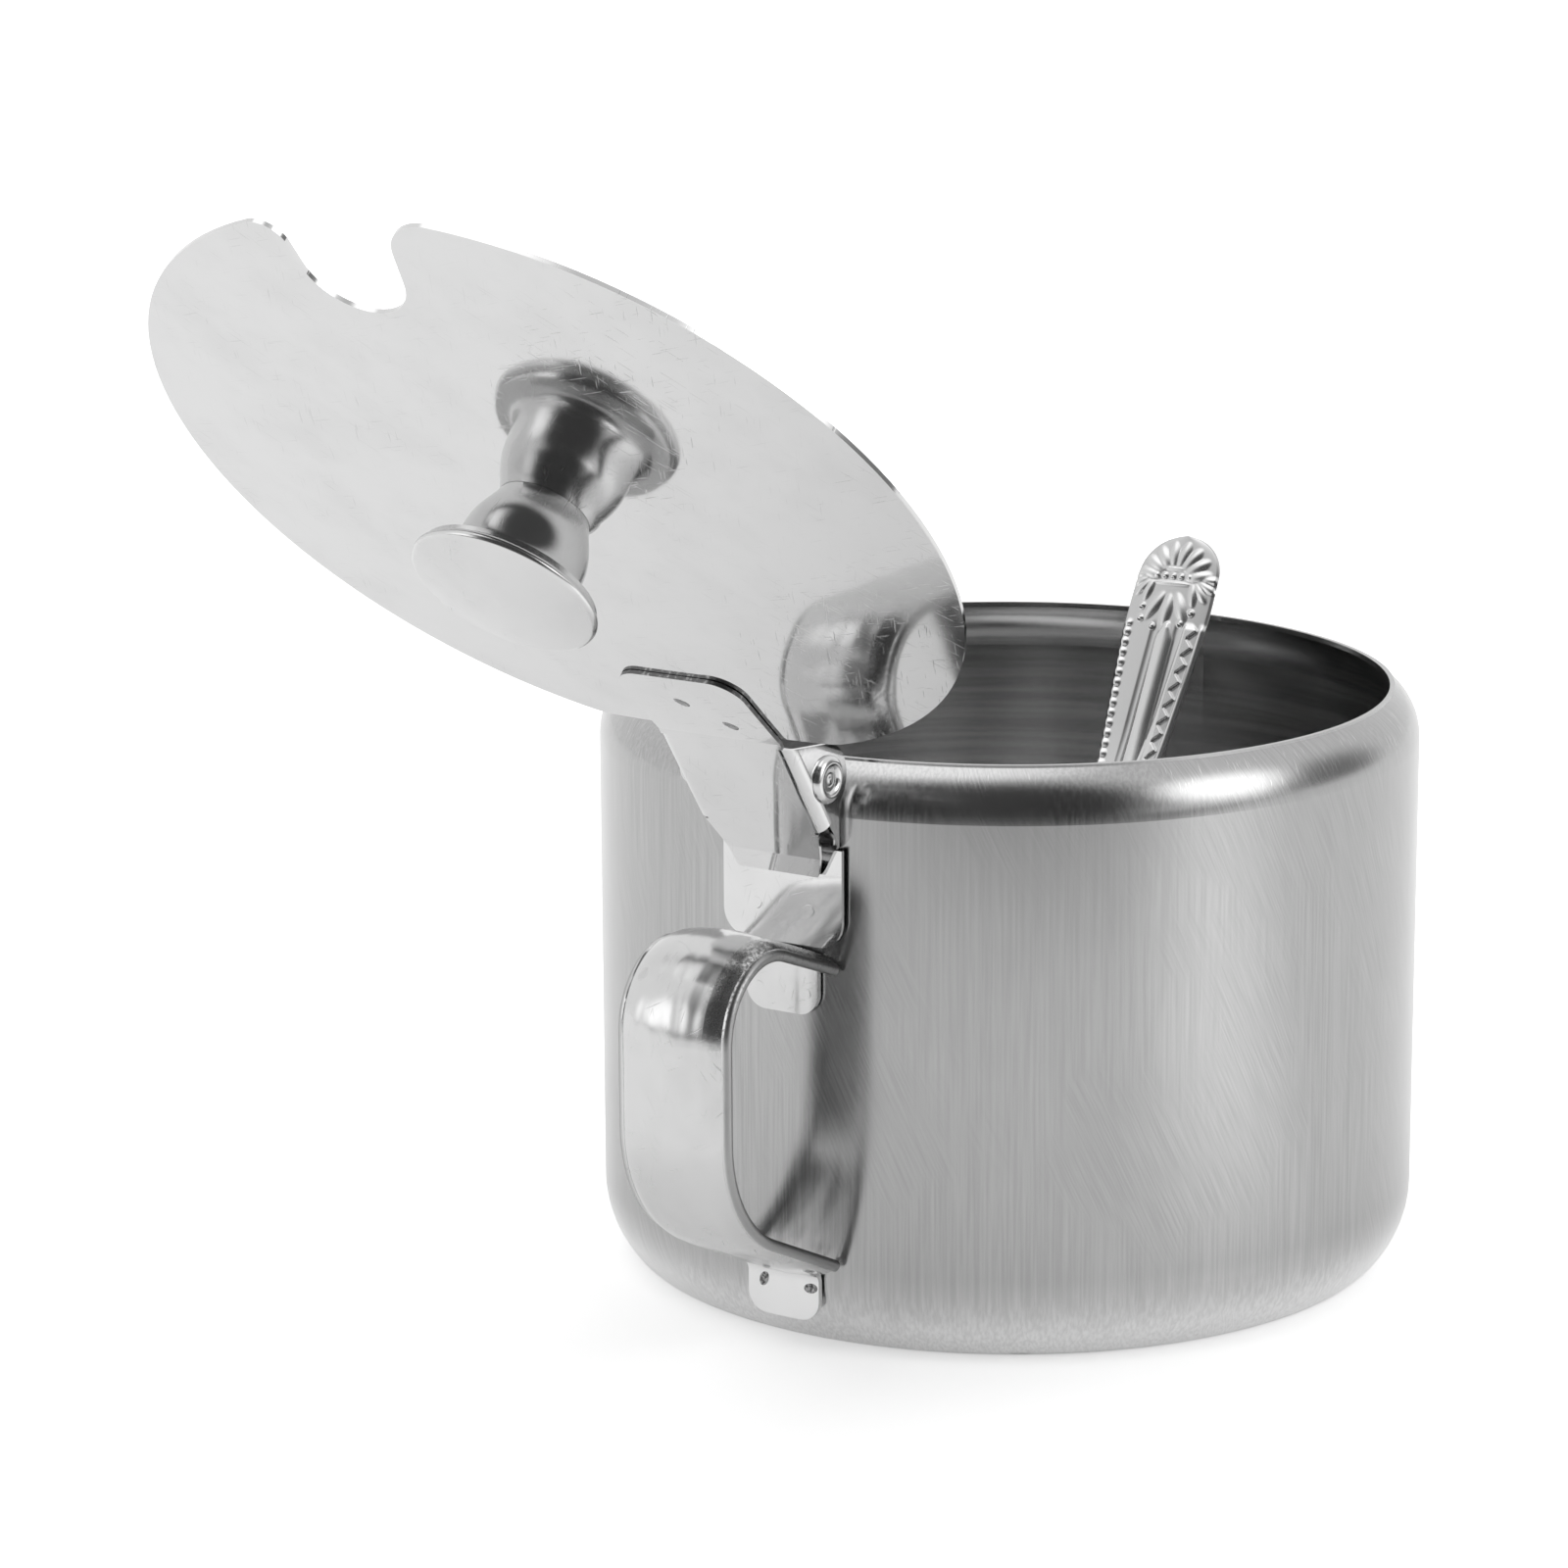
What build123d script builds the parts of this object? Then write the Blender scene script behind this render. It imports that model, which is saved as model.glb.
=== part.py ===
"""Seasoning jar: a drawn steel pot with a strap handle, a slightly domed hinged lid and a loose spoon.

Frame: millimetres, +Z up, origin at the centre of the base.
-X is the handle and hinge side, +X the side of the lid's spoon notch, and the hinge pin lies along Y.
The lid's pieces are drawn closed and then swung open about the pin, which is how the jar stands.
"""
import os
from math import cos, hypot, radians, sin, sqrt, tan

from build123d import *

# Pot
body_radius = 50.0
pot_height = 71.0
pot_wall = 0.6
mouth_inset = 3.1
lip_height = 0.3
shoulder_round = 7.4
foot_inset = 4.8
foot_round = 12.0
foot_edge_round = 2.5
foot_ring_width = 10.4
dish_rise = 0.8

# Sheet of the fittings
fitting_sheet = 0.5
handle_sheet = 0.7
lid_sheet = 0.5
wall_seat = 0.05

# Lid, slightly domed, with a chord on the hinge side and a notch for the spoon
lid_dome = 2.0
lid_seat = 0.05
lid_overlap = 0.1
lid_gap = 0.25
lid_chord_inset = 2.6
lid_chord_fillet = 9.0
notch_width = 12.6
notch_depth = 14.7
notch_offset = 4.6
notch_near_flare = 12.0
notch_near_lip = 5.5
notch_far_lip = 3.0

# Hinge and its rolled pin
open_angle = 135.0
hinge_out = 4.8
hinge_drop = 0.6
pin_radius = 1.5
pin_bore = 0.9
pin_fit = 0.08
pin_head_radius = 2.8
pin_head_roll = 0.8
ear_gap = 0.3

# Bracket on the wall
bracket_width = 16.2
bracket_drop = 21.8
bracket_corner = 3.2
bracket_bend = 1.3
bracket_ear_radius = 2.55
bracket_ear_drop = 10.0

# Thumb lever on the lid
lever_side_inset = 0.7
lever_seat_length = 12.4
lever_inner_corner = 3.6
lever_bend_gap = 0.5
lever_bend = 10.0
lever_fold = 1.6
lever_ear_radius = 4.1
lever_ear_start = 0.8
lever_ear_length = 13.8
lever_tab_inset = 1.2
lever_tip_width = 10.6
lever_tip_corner = 1.6
lever_curl = 14.0
lever_curl_length = 2.6
lever_stop_gap = 0.3

# Handle: a crowned channel strap with beaded edges, and flat tabs against the wall
handle_width = 15.2
handle_bead = 0.7
handle_crown = 0.4
handle_shoulder = 1.2
handle_shoulder_inset = 2.3
handle_reach = 22.65
handle_top_drop = 24.3
handle_top_slope = 21.2
handle_top_round = 8.7
handle_foot_z = 10.95
handle_foot_slope = 25.3
handle_foot_round = 16.0
handle_tab_width = 9.8
handle_tab_bend = 2.0
handle_tab_corner = 2.6
handle_top_tab = 7.2
handle_foot_tab = 6.0
handle_wall_gap = 0.15

# Knob: a flared hollow stem and a domed cap crimped round its flange
knob_base_radius = 5.3
knob_waist_radius = 6.9
knob_waist_height = 4.6
knob_height = 10.9
knob_sheet = 0.6
knob_cap_radius = 10.6
knob_cap_roll = 0.6
knob_cap_dome = 1.0
knob_flange_width = 1.1
knob_foot_hole = 1.5

# Spoon, loose, leaning on the rim
spoon_lean = 32.9
spoon_azimuth = 3.3
spoon_gap = 0.3
spoon_sheet = 1.2
spoon_end_radius = 5.7
spoon_end_beyond_rim = 4.4
spoon_neck_half = 1.9
spoon_waist_half = 4.3
spoon_wide_half = 5.8
bowl_length = 31.0
bowl_width = 20.0
bowl_depth = 5.0
spoon_root_length = 3.0
spoon_root_flare = 1.0
spoon_root_slope = 0.6
spoon_neck_length = 4.0
spoon_waist_shift = 3.0
spoon_wide_below_rim = 2.0
spoon_end_slope = 0.05
arch_start = 2.5
arch_crest = 9.0
arch_height = 1.6
arch_slope = 0.15
spoon_flat = 16.0

# Spot welds, which show as shallow round marks
weld_radius = 1.3
weld_height = 0.12
bracket_weld_rise = 4.2
bracket_weld_spread = 3.6
handle_weld_spread = 3.2
lever_weld_spread = 3.2
knob_weld_radius = 3.0

# Places worked out from the sizes above
mouth_radius = body_radius - mouth_inset
foot_ring_radius = body_radius - foot_inset
dish_radius = foot_ring_radius - foot_ring_width - dish_rise
lid_radius = mouth_radius + lid_overlap
lid_chord = lid_radius - lid_chord_inset
notch_floor = lid_radius - notch_depth
lid_bottom = pot_height + lid_gap
dome_radius = (lid_radius ** 2 + lid_dome ** 2) / (2 * lid_dome)
dome_centre = lid_bottom + lid_dome - dome_radius
lid_crest = lid_bottom + lid_dome + lid_sheet
hinge_z = pot_height - hinge_drop
hinge_reach = body_radius + hinge_out
hinge_axis = Axis((-hinge_reach, 0, hinge_z), (0, 1, 0))
lever_bend_x = lid_chord + lever_bend_gap
lever_seat_radius = dome_radius + lid_sheet + lid_seat + fitting_sheet / 2
lever_half = bracket_width / 2 + ear_gap + fitting_sheet
lever_height = dome_centre + sqrt(lever_seat_radius ** 2 - lever_bend_x ** 2)
lever_inner_end = lid_chord - lever_seat_length
seat_middle = (lever_inner_end + lever_bend_x) / 2
bracket_bottom = pot_height - bracket_drop
bracket_ear_foot = pot_height - bracket_ear_drop
handle_out = body_radius + handle_reach
handle_top_z = pot_height - handle_top_drop
bracket_face = body_radius + wall_seat + fitting_sheet
floor_top = dish_rise + pot_wall
ample = 2 * body_radius


def dome_height(radius, out):
    """Height, with the lid closed, of a sphere of this radius about the dome's centre."""
    return dome_centre + sqrt(radius ** 2 - out ** 2)


def shoulder_start():
    """Height at which the straight wall bends in to the shoulder."""
    inward = mouth_radius - (body_radius - shoulder_round)
    return pot_height - lip_height - sqrt(shoulder_round ** 2 - inward ** 2)


def half_section(inset):
    """Half section of the pot as a closed face, with each outer face moved in by the inset."""
    step_shift = inset * tan(radians(45 / 2))
    base = Polyline(
        (0, dish_rise + inset),
        (dish_radius + step_shift, dish_rise + inset),
        (dish_radius + step_shift + dish_rise, inset),
        (foot_ring_radius, inset),
    )
    edge_centre = Vector(foot_ring_radius, foot_edge_round)
    inward = foot_ring_radius - (body_radius - foot_round)
    rise = sqrt((foot_round - foot_edge_round) ** 2 - inward ** 2)
    foot_centre = Vector(body_radius - foot_round, foot_edge_round + rise)
    join = edge_centre + (edge_centre - foot_centre).normalized() * (foot_edge_round - inset)
    foot_edge = TangentArc(base @ 1, join, tangent=(1, 0))
    foot = TangentArc(join, (body_radius - inset, foot_centre.Y), tangent=foot_edge % 1)
    shoulder_z = shoulder_start()
    mouth = mouth_radius - inset
    inward = mouth - (body_radius - shoulder_round)
    lip_foot = shoulder_z + sqrt((shoulder_round - inset) ** 2 - inward ** 2)
    side = Line(foot @ 1, (body_radius - inset, shoulder_z))
    shoulder = TangentArc(side @ 1, (mouth, lip_foot), tangent=(0, 1))
    top = pot_height + inset
    lip = Polyline(shoulder @ 1, (mouth, top), (0, top), base @ 0)
    return make_face(Plane.XZ * (base + foot_edge + foot + side + shoulder + lip))


def pot_body():
    """Drawn pot: straight wall, rounded foot, drawn-in shoulder and a short upright lip."""
    return revolve(half_section(0), Axis.Z, 360) - revolve(half_section(pot_wall), Axis.Z, 360)


def across(face, width):
    """Sheet drawn out from a face in the XZ plane by half the width to each side."""
    return extrude(face, width / 2, dir=(0, 1, 0), both=True)


def band(line, thickness):
    """Even band in the XZ plane along a line given in X and Z."""
    return Plane.XZ * trace(line, thickness)


def pin_hole(radius):
    """Rod along the hinge axis, for the holes that the pin goes through."""
    return Pos(-hinge_reach, 0, hinge_z) * Rot(90, 0, 0) * Cylinder(radius, ample)


def swung_open(solid):
    """A piece of the lid, drawn closed, swung open about the pin."""
    return solid.rotate(hinge_axis, -open_angle)


def round_mark(radius):
    """Spot weld: a shallow disc on the XY plane."""
    return extrude(Circle(radius), weld_height)


def lid_plate():
    """Domed lid with a chord on the hinge side and a U-shaped notch with rounded lips."""
    disc = Circle(lid_radius) - Pos(-lid_chord - ample / 2, 0) * Rectangle(ample, ample)
    disc = fillet(disc.vertices().sort_by(Axis.X)[:2], lid_chord_fillet)
    end_radius = notch_width / 2
    flared = end_radius + lid_radius * tan(radians(notch_near_flare))
    mouth = Line((lid_radius, -flared), (lid_radius, end_radius))
    slot = make_hull([CenterArc((0, 0), end_radius, 0, 360).edge(), mouth.edge()])
    disc -= Pos(notch_floor + end_radius, notch_offset) * slot
    lips = disc.vertices().sort_by(Axis.X)[-2:].sort_by(Axis.Y)
    far_corner = Vector(lips[1])
    disc = fillet(lips[0], notch_near_lip)
    disc = fillet(disc.vertices().sort_by_distance(far_corner)[0], notch_far_lip)
    middle = dome_radius + lid_sheet / 2
    bow = [(out, dome_height(middle, out)) for out in (0, lid_radius / 2, lid_radius + lid_dome)]
    shell = revolve(band(ThreePointArc(*bow), lid_sheet), Axis.Z, 360)
    return swung_open(shell & extrude(disc, ample))


def thumb_plane():
    """Plane across the thumb tab at its bend: X along the hinge, Y towards the pot, Z outward."""
    bend = radians(lever_bend)
    return Plane((-lever_bend_x, 0, lever_height), (0, 1, 0), (-cos(bend), 0, sin(bend)))


def thumb_length():
    """Length of the thumb tab whose tip stops just short of the bracket when the lid is open."""
    bend = radians(lever_bend)
    out, down = hinge_reach - lever_bend_x, lever_height - hinge_z
    to_pin = out * cos(bend) - down * sin(bend)
    ear_depth = out * sin(bend) + down * cos(bend)
    tab_tilt = radians(open_angle - lever_bend)
    curl_tilt = tab_tilt - radians(lever_curl)
    underside = hinge_reach + (ear_depth - fitting_sheet / 2) * sin(tab_tilt)
    travel = underside - bracket_face - lever_stop_gap + lever_curl_length * cos(curl_tilt)
    return to_pin - travel / cos(tab_tilt)


def lever_outline(straight):
    """Plan of the lever: rounded on the lid, relieved at the ears and tapered to the thumb tip."""
    ear_near = -lever_bend_x - lever_ear_start
    ear_far = ear_near - lever_ear_length
    tip = -lever_bend_x - straight - lever_curl_length
    fold_half = lever_half - lever_fold
    half = [
        (-lever_inner_end, lever_half - lever_side_inset),
        (ear_near, lever_half - lever_side_inset),
        (ear_near, fold_half),
        (ear_far, fold_half),
        (ear_far, lever_half - lever_tab_inset),
        (tip, lever_tip_width / 2),
    ]
    plan = make_face(Polyline(*half, *[(x, -y) for x, y in reversed(half)], close=True))
    plan = fillet(plan.vertices().sort_by(Axis.X)[-2:], lever_inner_corner)
    return fillet(plan.vertices().sort_by(Axis.X)[:2], lever_tip_corner)


def lever_ears():
    """Channel folded down from the thumb tab and cut to two rounded ears about the pin."""
    middle = lever_half - fitting_sheet / 2
    fold = lever_fold - fitting_sheet / 2
    depth = hinge_z
    channel = FilletPolyline((-middle, depth), (-middle, 0), (middle, 0), (middle, depth), radius=fold)
    start = thumb_plane().offset(lever_ear_start)
    folded = extrude(start * trace(channel, fitting_sheet), lever_ear_length)
    crest = -fitting_sheet / 2
    near = start.from_local_coords((0, crest, 0))
    far = start.from_local_coords((0, crest, lever_ear_length))
    top = Line((near.X, near.Z), (far.X, far.Z))
    eye = CenterArc((-hinge_reach, hinge_z), lever_ear_radius, 0, 360)
    return folded & across(Plane.XZ * make_hull([top.edge(), eye.edge()]), ample)


def thumb_lever():
    """Pressed lever: a seat bowed to the lid, two ears for the pin and a thumb tab with a curled tip."""
    bend, curl = radians(lever_bend), radians(lever_bend + lever_curl)
    straight = thumb_length()
    curl_x = -lever_bend_x - straight * cos(bend)
    curl_z = lever_height + straight * sin(bend)
    places = (lever_inner_end, seat_middle, lever_bend_x)
    seat = [(-out, dome_height(lever_seat_radius, out)) for out in places]
    tab = Polyline(
        seat[-1],
        (curl_x, curl_z),
        (curl_x - lever_curl_length * cos(curl), curl_z + lever_curl_length * sin(curl)),
    )
    side = ThreePointArc(*seat) + tab
    sheet = across(band(side, fitting_sheet), ample)
    plate = sheet & extrude(lever_outline(straight), ample)
    return swung_open(plate + lever_ears() - pin_hole(pin_radius))


def hinge_bracket():
    """Plate standing flat against the wall, its upper edges folded out into two ears."""
    middle = bracket_width / 2 - fitting_sheet / 2
    back = -body_radius - wall_seat
    centre = back - fitting_sheet / 2
    ear_top = hinge_z + bracket_ear_radius
    tip = -hinge_reach - bracket_ear_radius
    channel = FilletPolyline(
        (tip, -middle), (centre, -middle), (centre, middle), (tip, middle),
        radius=bracket_bend - fitting_sheet / 2,
    )
    folded = Pos(0, 0, bracket_ear_foot) * trace(channel, fitting_sheet)
    folded = extrude(folded, ear_top - bracket_ear_foot)
    spine = Line((back, bracket_ear_foot), (back, hinge_z))
    eye = CenterArc((-hinge_reach, hinge_z), bracket_ear_radius, 0, 360)
    ears = folded & across(Plane.XZ * make_hull([spine.edge(), eye.edge()]), ample)
    flat_width = bracket_width - 2 * bracket_bend
    plate = Rectangle(bracket_width, bracket_ear_foot - bracket_bottom)
    plate = fillet(plate.vertices().sort_by(Axis.Y)[:2], bracket_corner)
    plate += Pos(0, (bracket_ear_foot - bracket_bottom) / 2) * Rectangle(flat_width, bracket_bend)
    face = Plane((back, 0, (bracket_bottom + bracket_ear_foot) / 2), (0, -1, 0), (-1, 0, 0))
    return extrude(face * plate, fitting_sheet) + ears - pin_hole(pin_radius + pin_fit)


def hinge_pin():
    """Hollow rivet through both pairs of ears, its ends rolled over into round heads."""
    roll_centre = (pin_head_radius - pin_head_roll, lever_half)
    roll = Pos(*roll_centre) * Circle(pin_head_roll)
    roll &= Pos(0, lever_half + pin_head_radius) * Rectangle(ample, 2 * pin_head_radius)
    neck = lever_half + pin_head_roll / 2
    shaft = Pos((pin_bore + pin_radius) / 2, neck / 2) * Rectangle(pin_radius - pin_bore, neck)
    near_end = revolve(Plane.XZ * (shaft + roll), Axis.Z, 360)
    pin = near_end + mirror(near_end, Plane.XY)
    return swung_open(Pos(-hinge_reach, 0, hinge_z) * Rot(90, 0, 0) * pin)


def handle_corners():
    """Corners of the handle's side line in X and Z, from the top leg's wall end to the foot's."""
    reach = handle_out - body_radius
    top = handle_top_z + reach * tan(radians(handle_top_slope))
    foot = handle_foot_z + reach * tan(radians(handle_foot_slope))
    tab = wall_seat + handle_sheet / 2
    return [
        (-body_radius - tab, handle_top_z + tab * tan(radians(handle_top_slope))),
        (-handle_out, top),
        (-handle_out, foot),
        (-body_radius - tab, handle_foot_z + tab * tan(radians(handle_foot_slope))),
    ]


def corner_round(wanted, slope, room):
    """Radius of a corner of the handle, no larger than its half of the upright has room for."""
    return min(wanted, room * tan(radians((90 - slope) / 2)))


def point_between(start, end, distance):
    """Point at a distance from the start, on the way to the end."""
    share = distance / hypot(end[0] - start[0], end[1] - start[1])
    return (start[0] + share * (end[0] - start[0]), start[1] + share * (end[1] - start[1]))


def tab_corners(side):
    """Wall end and outer corner of the strap's face, on the top leg for side 1 and the foot leg for -1."""
    corners = handle_corners() if side > 0 else handle_corners()[::-1]
    slope = handle_top_slope if side > 0 else handle_foot_slope
    lift = side * handle_shoulder / cos(radians(slope))
    return [(x, z + lift) for x, z in corners[:2]]


def handle_tab(wall_end, leg_corner, length):
    """Flat tab down the wall, bent out into the leg of the handle."""
    on_leg = point_between(wall_end, leg_corner, 2 * handle_tab_bend)
    side = FilletPolyline((wall_end[0], wall_end[1] - length), wall_end, on_leg, radius=handle_tab_bend)
    tab = across(band(side, handle_sheet), handle_tab_width)
    corners = tab.edges().filter_by(Axis.X).sort_by(Axis.Z)[:2]
    return fillet(corners, handle_tab_corner)


def strap_section():
    """Channel section of the strap: a crowned face, rounded shoulders and a bead on each edge."""
    edge = handle_width / 2 - handle_bead
    shoulder = edge - handle_shoulder_inset
    top = -handle_shoulder - handle_crown
    crown = ThreePointArc((-shoulder, -handle_shoulder), (0, top), (shoulder, -handle_shoulder))
    right = TangentArc((shoulder, -handle_shoulder), (edge, 0), tangent=crown % 1)
    line = crown + right + mirror(right, Plane.YZ)
    return trace(line, handle_sheet) + [Pos(side * edge, 0) * Circle(handle_bead) for side in (-1, 1)]


def handle():
    """Strap handle: a channel strap cut to the wall, and a tab bent down at each end."""
    top_end, top, foot, foot_end = handle_corners()
    middle = (-handle_out, (top[1] + foot[1]) / 2)
    room = (top[1] - foot[1]) / 2 - handle_bead
    upper_round = corner_round(handle_top_round, handle_top_slope, room)
    lower_round = corner_round(handle_foot_round, -handle_foot_slope, room)
    line = FilletPolyline(top_end, top, middle, radius=upper_round)
    line += FilletPolyline(middle, foot, foot_end, radius=lower_round)
    path = Plane.XZ * line
    strap = sweep(Plane(path @ 0, (0, 1, 0), path % 0) * strap_section(), path)
    strap -= Cylinder(body_radius + handle_wall_gap, ample)
    strap += handle_tab(*tab_corners(1), handle_top_tab)
    return strap + handle_tab(*tab_corners(-1), handle_foot_tab)


def knob_stem():
    """Hollow stem, flared like a trumpet from its foot to the flange under the cap."""
    half_sheet = knob_sheet / 2
    foot = (knob_base_radius - half_sheet, half_sheet)
    waist = (knob_waist_radius - half_sheet, knob_waist_height)
    flange_z = knob_height - 2 * knob_cap_roll - half_sheet
    flange_end = knob_cap_radius - knob_cap_roll
    flange_start = (flange_end - knob_flange_width, flange_z)
    flare = Spline(foot, waist, flange_start, tangents=[(0.3, 1), (1, 0)])
    rise = Line((knob_foot_hole, half_sheet), foot) + flare + Line(flange_start, (flange_end, flange_z))
    return swung_open(Pos(0, 0, lid_crest) * revolve(band(rise, knob_sheet), Axis.Z, 360))


def knob_cap():
    """Shallow domed cap with a rolled edge."""
    roll = (knob_cap_radius - knob_cap_roll, knob_height - knob_cap_roll)
    top = knob_height + knob_cap_dome - knob_sheet / 2
    dome = TangentArc((0, top), (roll[0], knob_height - knob_sheet / 2), tangent=(1, 0))
    ring = Pos(*roll) * Circle(knob_cap_roll)
    half = Plane.XZ * (trace(dome, knob_sheet) + ring)
    half &= Plane.XZ * Pos(ample / 2, 0) * Rectangle(ample, ample)
    return swung_open(Pos(0, 0, lid_crest) * revolve(half, Axis.Z, 360))


def spoon_seat():
    """Plane of the spoon's back: origin at its foot, X up the handle, Z to its face. And its run."""
    lean, turn = radians(spoon_lean), radians(spoon_azimuth)
    along = Vector(sin(lean) * cos(turn), sin(lean) * sin(turn), cos(lean))
    face = Vector(-cos(lean) * cos(turn), -cos(lean) * sin(turn), sin(lean))
    rim = mouth_radius - pot_wall
    touch = (rim ** 2 - spoon_wide_half ** 2) ** 0.5
    contact = Vector(touch * cos(turn), touch * sin(turn), pot_height) + face * spoon_gap
    half_length = bowl_length / 2
    bowl_low = hypot(half_length * cos(lean), bowl_depth * sin(lean))
    bowl_centre = half_length * cos(lean) + spoon_sheet * sin(lean)
    foot_z = floor_top + spoon_gap + bowl_low - bowl_centre
    run = (contact.Z - foot_z) / cos(lean)
    return Plane(contact - along * run, along, face), run


def spoon_blank(run):
    """Plan of the handle: a narrow neck that widens evenly to a round end."""
    end = run + spoon_end_beyond_rim
    neck = bowl_length + spoon_neck_length
    side = Spline(
        (bowl_length - spoon_root_length, spoon_neck_half + spoon_root_flare),
        (neck, spoon_neck_half),
        ((neck + run) / 2 + spoon_waist_shift, spoon_waist_half),
        (run - spoon_wide_below_rim, spoon_wide_half),
        (end, spoon_end_radius),
        tangents=[(1, -spoon_root_slope), (1, -spoon_end_slope)],
    )
    cap = ThreePointArc((end, spoon_end_radius), (end + spoon_end_radius, 0), (end, -spoon_end_radius))
    foot = Line(side @ 0, ((side @ 0).X, -(side @ 0).Y))
    return make_face(side + cap + mirror(side, Plane.XZ) + foot)


def spoon():
    """Pressed spoon: an oval bowl, an arched neck and a flat handle with a round end."""
    seat, run = spoon_seat()
    end = run + spoon_end_beyond_rim + spoon_end_radius
    middle = spoon_sheet / 2
    arch = Spline(
        (bowl_length - arch_start, middle),
        (bowl_length + arch_crest, middle + arch_height),
        (run - spoon_flat, middle),
        tangents=[(1, arch_slope), (1, 0)],
    )
    sheet = across(band(arch + Line(arch @ 1, (end + spoon_sheet, middle)), spoon_sheet), ample)
    grip = sheet & extrude(spoon_blank(run), ample / 2, both=True)
    length, width = bowl_length / 2, bowl_width / 2
    outer = scale(Sphere(1), (length, width, bowl_depth))
    inner = scale(Sphere(1), (length - spoon_sheet, width - spoon_sheet, bowl_depth - spoon_sheet))
    lower_half = Pos(0, 0, -bowl_depth) * Box(ample, ample, 2 * bowl_depth)
    bowl = Pos(length, 0, spoon_sheet) * ((outer - inner) & lower_half)
    return seat.location * (bowl + grip)


def wall_welds(x, z, spread):
    """Two spot welds side by side on a face that stands upright at x."""
    face = Plane((x, 0, z), (0, -1, 0), (-1, 0, 0))
    return [face * Pos(y, 0) * round_mark(weld_radius) for y in (-spread, spread)]


def handle_welds(wall_end, length):
    """Two spot welds on the flat part of a tab of the handle."""
    z = wall_end[1] - (length + handle_tab_bend) / 2
    return wall_welds(wall_end[0] - handle_sheet / 2, z, handle_weld_spread)


def lever_welds():
    """Two spot welds where the lever lies on the lid."""
    top = lever_seat_radius + fitting_sheet / 2
    rise = dome_height(top, seat_middle)
    face = Plane((-seat_middle, 0, rise), (0, 1, 0), (-seat_middle, 0, rise - dome_centre))
    marks = [face * Pos(y, 0) * round_mark(weld_radius) for y in (-lever_weld_spread, lever_weld_spread)]
    return [swung_open(mark) for mark in marks]


def knob_weld():
    """Weld mark under the lid, beneath the knob."""
    underside = dome_height(dome_radius - lid_seat, knob_weld_radius)
    return swung_open(Pos(0, 0, underside - weld_height) * round_mark(knob_weld_radius))


top_tab, foot_tab = tab_corners(1)[0], tab_corners(-1)[0]
pieces = {
    "pot_body": pot_body(),
    "handle": handle(),
    "handle_top_welds": handle_welds(top_tab, handle_top_tab),
    "handle_foot_welds": handle_welds(foot_tab, handle_foot_tab),
    "hinge_bracket": hinge_bracket(),
    "bracket_welds": wall_welds(-bracket_face, bracket_bottom + bracket_weld_rise, bracket_weld_spread),
    "hinge_pin": hinge_pin(),
    "lid_plate": lid_plate(),
    "thumb_lever": thumb_lever(),
    "lever_welds": lever_welds(),
    "knob_stem": knob_stem(),
    "knob_cap": knob_cap(),
    "knob_weld": knob_weld(),
    "spoon": spoon(),
}

os.makedirs("parts", exist_ok=True)
for name, piece in pieces.items():
    shape = Compound(children=piece) if isinstance(piece, list) else piece
    export_step(shape, f"parts/{name}.step")
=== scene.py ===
# %% [markdown]
# # A small steel serving jar, open, with its spoon
# The metal parts come in from the CAD model as a fixed frame: each one already stands in its true
# place, and nothing in this file moves or reshapes it. What is added here is what CAD leaves out:
# the finish of every part, the stamped ornament of the spoon, the small marks that welding left,
# and the light that makes polished steel look like steel.

# %% Load the frame
import math
import bmesh
import bpy
from mathutils import Matrix, Vector


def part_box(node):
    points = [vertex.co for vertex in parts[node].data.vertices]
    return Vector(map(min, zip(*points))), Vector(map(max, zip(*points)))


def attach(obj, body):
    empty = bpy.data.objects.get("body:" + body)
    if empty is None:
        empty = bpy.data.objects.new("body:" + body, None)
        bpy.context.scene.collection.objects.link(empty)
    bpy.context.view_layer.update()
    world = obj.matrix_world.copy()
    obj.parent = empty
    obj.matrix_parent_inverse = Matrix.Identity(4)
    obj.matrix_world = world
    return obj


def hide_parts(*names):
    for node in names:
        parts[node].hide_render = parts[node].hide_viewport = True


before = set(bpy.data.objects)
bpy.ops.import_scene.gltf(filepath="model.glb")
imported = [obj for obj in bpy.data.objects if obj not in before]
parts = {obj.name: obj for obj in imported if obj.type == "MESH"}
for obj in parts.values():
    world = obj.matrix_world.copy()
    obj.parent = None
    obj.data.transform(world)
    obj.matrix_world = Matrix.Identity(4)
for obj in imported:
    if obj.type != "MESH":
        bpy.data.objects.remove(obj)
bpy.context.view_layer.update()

scene = bpy.context.scene
mm = 0.001
print("parts:", ", ".join(sorted(parts)))

# %% [markdown]
# ## The camera
# The jar is seen from the hinge side, from a little above its rim. A long lens, some way off, keeps
# the sides of the pot nearly upright, where a short lens close by would make them lean. A camera
# looks along its own minus Z axis, so to_track_quat turns that axis to the direction we want, with
# Y kept upward. The small roll is the tilt of the tripod, put in last as a turn about the lens.

# %% Place the camera
LENS = 120.3
SENSOR = 36
ROLL = math.radians(0.317)
camera_place = Vector((-0.5377, -0.3205, 0.2075))
looks_along = Vector((0.81271, 0.53416, -0.23282))
camera_data = bpy.data.cameras.new("tripod_camera")
camera_data.lens = LENS
camera_data.sensor_width = SENSOR
camera = bpy.data.objects.new("tripod_camera", camera_data)
aim = looks_along.to_track_quat("-Z", "Y").to_matrix().to_4x4()
camera.matrix_world = Matrix.Translation(camera_place) @ aim @ Matrix.Rotation(-ROLL, 4, "Z")
scene.collection.objects.link(camera)
scene.camera = camera
print("camera height in mm:", round(camera_place.z / mm))

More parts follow.
